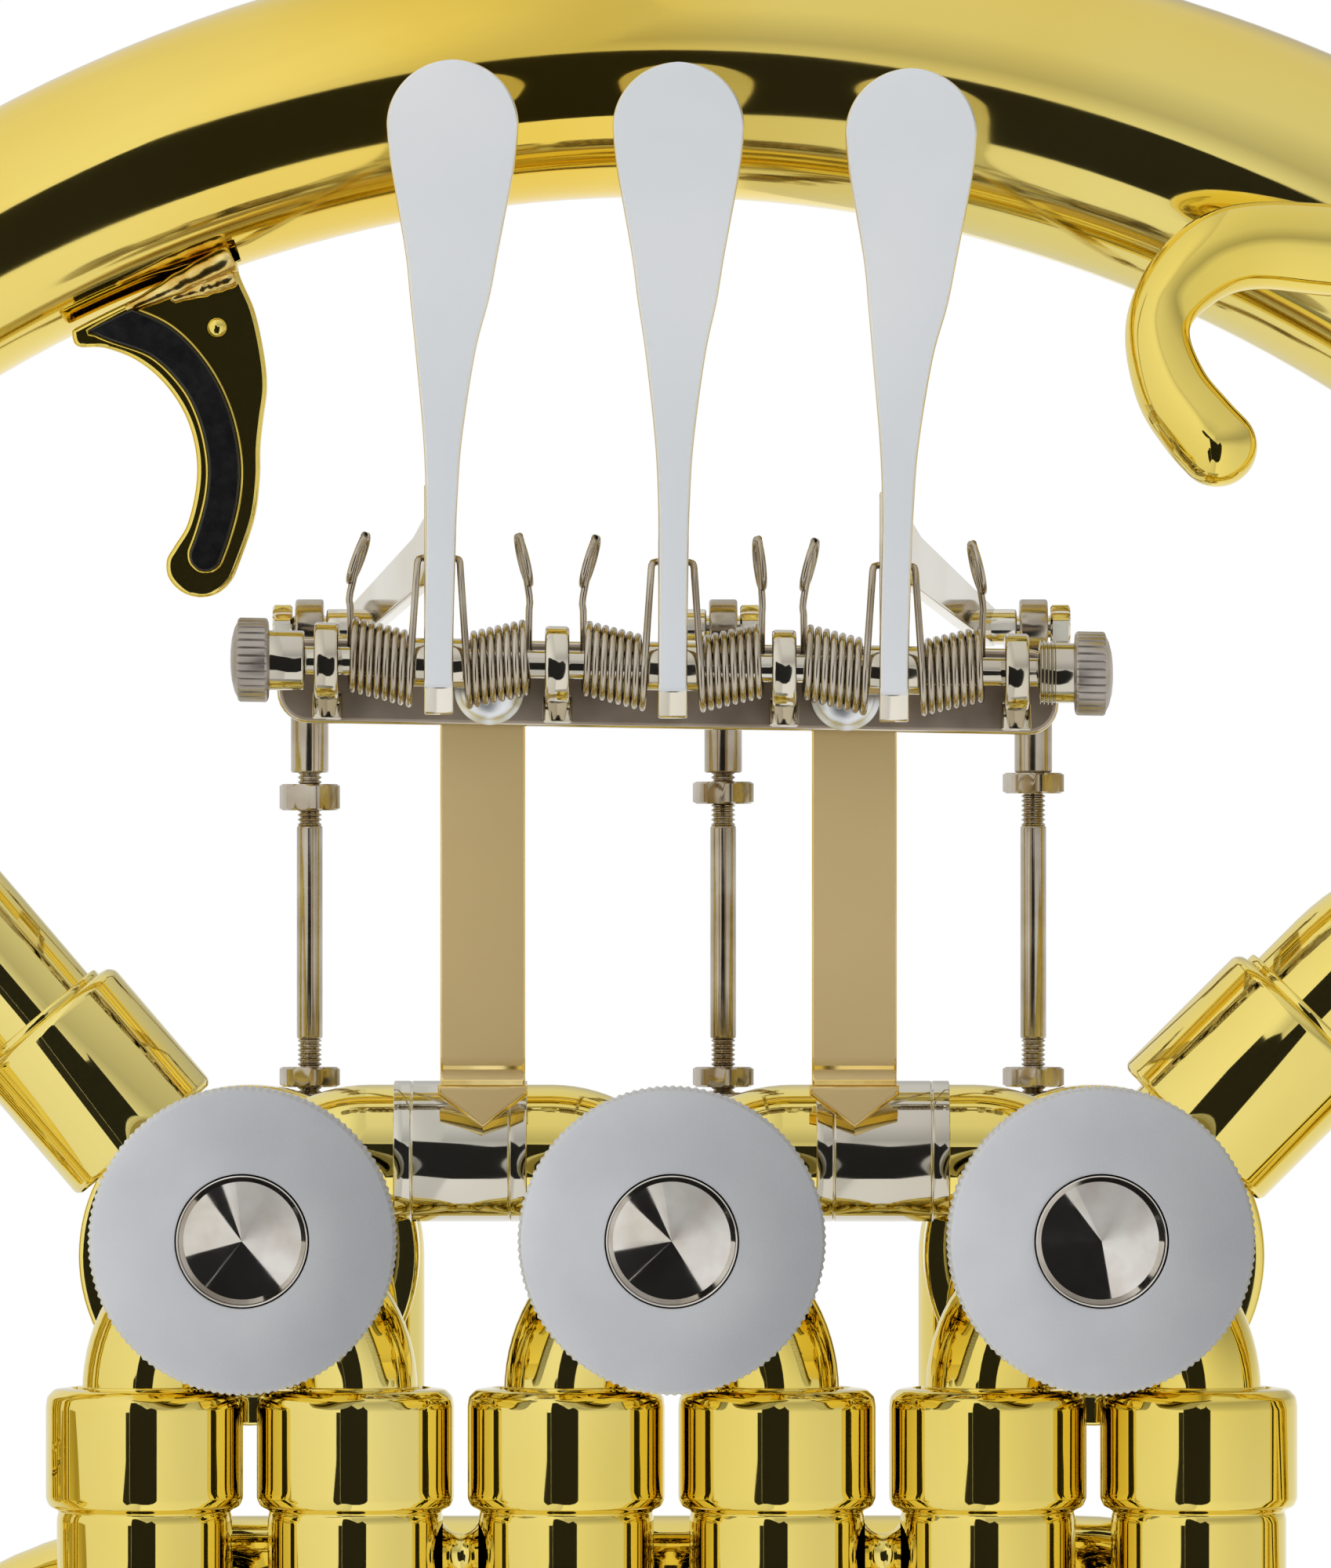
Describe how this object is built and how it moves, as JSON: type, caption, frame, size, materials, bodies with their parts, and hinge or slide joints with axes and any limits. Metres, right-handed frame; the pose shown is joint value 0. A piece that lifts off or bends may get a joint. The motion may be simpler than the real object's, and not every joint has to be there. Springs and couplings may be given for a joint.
{
  "type": "french horn",
  "caption": "French horn with rotary valves, spoon levers and pushrods, coiled tubing, pull-out slides and a wide flared bell, standing on its bell rim.",
  "frame": {"origin": "middle of the foot of the bounding box, in the plane of the bell's rim", "axes": "+Z from the bell's rim up the bell, +X from the valve levers towards the bell's axis, +Y from the valve caps to the back"},
  "size_m": [0.4556, 0.3052, 0.625],
  "materials": {
    "gold_lacquer": "polished, lacquered",
    "nickel_silver": "polished",
    "satin_silver": "satin",
    "lever_silver": "semi-polished",
    "spring_steel": "polished, brownish",
    "khaki_brass": "satin",
    "black_inlay": "glossy",
    "bumper_rubber": "matt"
  },
  "bodies": {
    "horn": {"bell": "gold_lacquer", "bell_branch": "gold_lacquer", "first_branch": "gold_lacquer", "valve_inlet_tube": "gold_lacquer", "tuning_sleeves": "gold_lacquer", "leadpipe": "gold_lacquer", "valve_1_casing": "gold_lacquer", "valve_2_casing": "gold_lacquer", "valve_3_casing": "gold_lacquer", "slide_1_sleeves": "gold_lacquer", "slide_2_sleeves": "gold_lacquer", "slide_3_sleeves": "gold_lacquer", "thumb_hook": "gold_lacquer", "pinky_hook": "gold_lacquer", "branch_stay": "gold_lacquer", "bell_stay": "gold_lacquer", "bell_ferrule": "nickel_silver", "outlet_ferrule": "nickel_silver", "inlet_ferrule": "nickel_silver", "receiver": "nickel_silver", "link_ferrule_1": "nickel_silver", "link_ferrule_2": "nickel_silver", "valve_1_bearing": "nickel_silver", "valve_2_bearing": "nickel_silver", "valve_3_bearing": "nickel_silver", "axle": "nickel_silver", "knurled_screw_left": "nickel_silver", "knurled_screw_right": "nickel_silver", "valve_1_cap": "satin_silver", "valve_2_cap": "satin_silver", "valve_3_cap": "satin_silver", "carriage": "lever_silver", "carriage_screw_1": "lever_silver", "carriage_screw_2": "lever_silver", "spring_1": "spring_steel", "spring_2": "spring_steel", "spring_3": "spring_steel", "strap_1": "khaki_brass", "strap_2": "khaki_brass", "thumb_hook_inlay": "black_inlay", "valve_1_bumper": "bumper_rubber", "valve_2_bumper": "bumper_rubber", "valve_3_bumper": "bumper_rubber"},
    "lever_1": {"lever_1": "lever_silver"},
    "rotor_1": {"valve_1_rotor": "nickel_silver", "valve_1_stop_arm": "nickel_silver"},
    "pushrod_1": {"pushrod_1": "spring_steel"},
    "slide_1": {"slide_1": "gold_lacquer"},
    "lever_2": {"lever_2": "lever_silver"},
    "rotor_2": {"valve_2_rotor": "nickel_silver", "valve_2_stop_arm": "nickel_silver"},
    "pushrod_2": {"pushrod_2": "spring_steel"},
    "slide_2": {"slide_2": "gold_lacquer"},
    "lever_3": {"lever_3": "lever_silver"},
    "rotor_3": {"valve_3_rotor": "nickel_silver", "valve_3_stop_arm": "nickel_silver"},
    "pushrod_3": {"pushrod_3": "spring_steel"},
    "slide_3": {"slide_3": "gold_lacquer"},
    "tuning_slide": {"tuning_slide": "gold_lacquer"},
    "mouthpiece": {"mouthpiece": "nickel_silver"}
  },
  "joints": [
    {"name": "lever_1_press", "type": "hinge", "parent": "horn", "child": "lever_1", "pos_m": [-0.15138, -0.061, 0.3767], "axis": [0, 0, -1], "range_deg": [0, 12], "stiffness_Nm_per_rad": 0.15, "springref_deg": -20.05, "deforming": ["spring_1"]},
    {"name": "pushrod_1_pivot", "type": "hinge", "parent": "lever_1", "child": "pushrod_1", "pos_m": [-0.15599, -0.017, 0.3622], "axis": [0, 0, -1], "range_deg": [-12, 0]},
    {"name": "rotor_1_turn", "type": "hinge", "parent": "horn", "child": "rotor_1", "pos_m": [-0.09248, -0.045, 0.3567], "axis": [0, 1, 0], "range_deg": [0, 90]},
    {"name": "lever_2_press", "type": "hinge", "parent": "horn", "child": "lever_2", "pos_m": [-0.15138, -0.061, 0.4008], "axis": [0, 0, -1], "range_deg": [0, 12], "stiffness_Nm_per_rad": 0.15, "springref_deg": -20.05, "deforming": ["spring_2"]},
    {"name": "pushrod_2_pivot", "type": "hinge", "parent": "lever_2", "child": "pushrod_2", "pos_m": [-0.15599, -0.017, 0.4062], "axis": [0, 0, -1], "range_deg": [-12, 0]},
    {"name": "rotor_2_turn", "type": "hinge", "parent": "horn", "child": "rotor_2", "pos_m": [-0.09248, -0.045, 0.4007], "axis": [0, 1, 0], "range_deg": [0, 90]},
    {"name": "lever_3_press", "type": "hinge", "parent": "horn", "child": "lever_3", "pos_m": [-0.15138, -0.061, 0.4236], "axis": [0, 0, -1], "range_deg": [0, 12], "stiffness_Nm_per_rad": 0.15, "springref_deg": -20.05, "deforming": ["spring_3"]},
    {"name": "pushrod_3_pivot", "type": "hinge", "parent": "lever_3", "child": "pushrod_3", "pos_m": [-0.15599, -0.017, 0.4392], "axis": [0, 0, -1], "range_deg": [-12, 0]},
    {"name": "rotor_3_turn", "type": "hinge", "parent": "horn", "child": "rotor_3", "pos_m": [-0.09248, -0.045, 0.4447], "axis": [0, 1, 0], "range_deg": [-90, 0]},
    {"name": "slide_1_pull", "type": "slide", "parent": "horn", "child": "slide_1", "axis": [1, 0, 0], "range_m": [0, 0.02]},
    {"name": "slide_2_pull", "type": "slide", "parent": "horn", "child": "slide_2", "axis": [1, 0, 0], "range_m": [0, 0.02]},
    {"name": "slide_3_pull", "type": "slide", "parent": "horn", "child": "slide_3", "axis": [1, 0, 0], "range_m": [0, 0.02]},
    {"name": "tuning_slide_pull", "type": "slide", "parent": "horn", "child": "tuning_slide", "axis": [1, 0, 0], "range_m": [0, 0.035]},
    {"name": "mouthpiece_pull", "type": "slide", "parent": "horn", "child": "mouthpiece", "axis": [0.9563, 0, 0.2924], "range_m": [0, 0.03]}
  ],
  "couplings": [
    {"joint": "pushrod_1_pivot", "follows": "lever_1_press", "ratio": -1},
    {"joint": "rotor_1_turn", "follows": "lever_1_press", "ratio": 7.5},
    {"joint": "pushrod_2_pivot", "follows": "lever_2_press", "ratio": -1},
    {"joint": "rotor_2_turn", "follows": "lever_2_press", "ratio": 7.5},
    {"joint": "pushrod_3_pivot", "follows": "lever_3_press", "ratio": -1},
    {"joint": "rotor_3_turn", "follows": "lever_3_press", "ratio": -7.5}
  ]
}
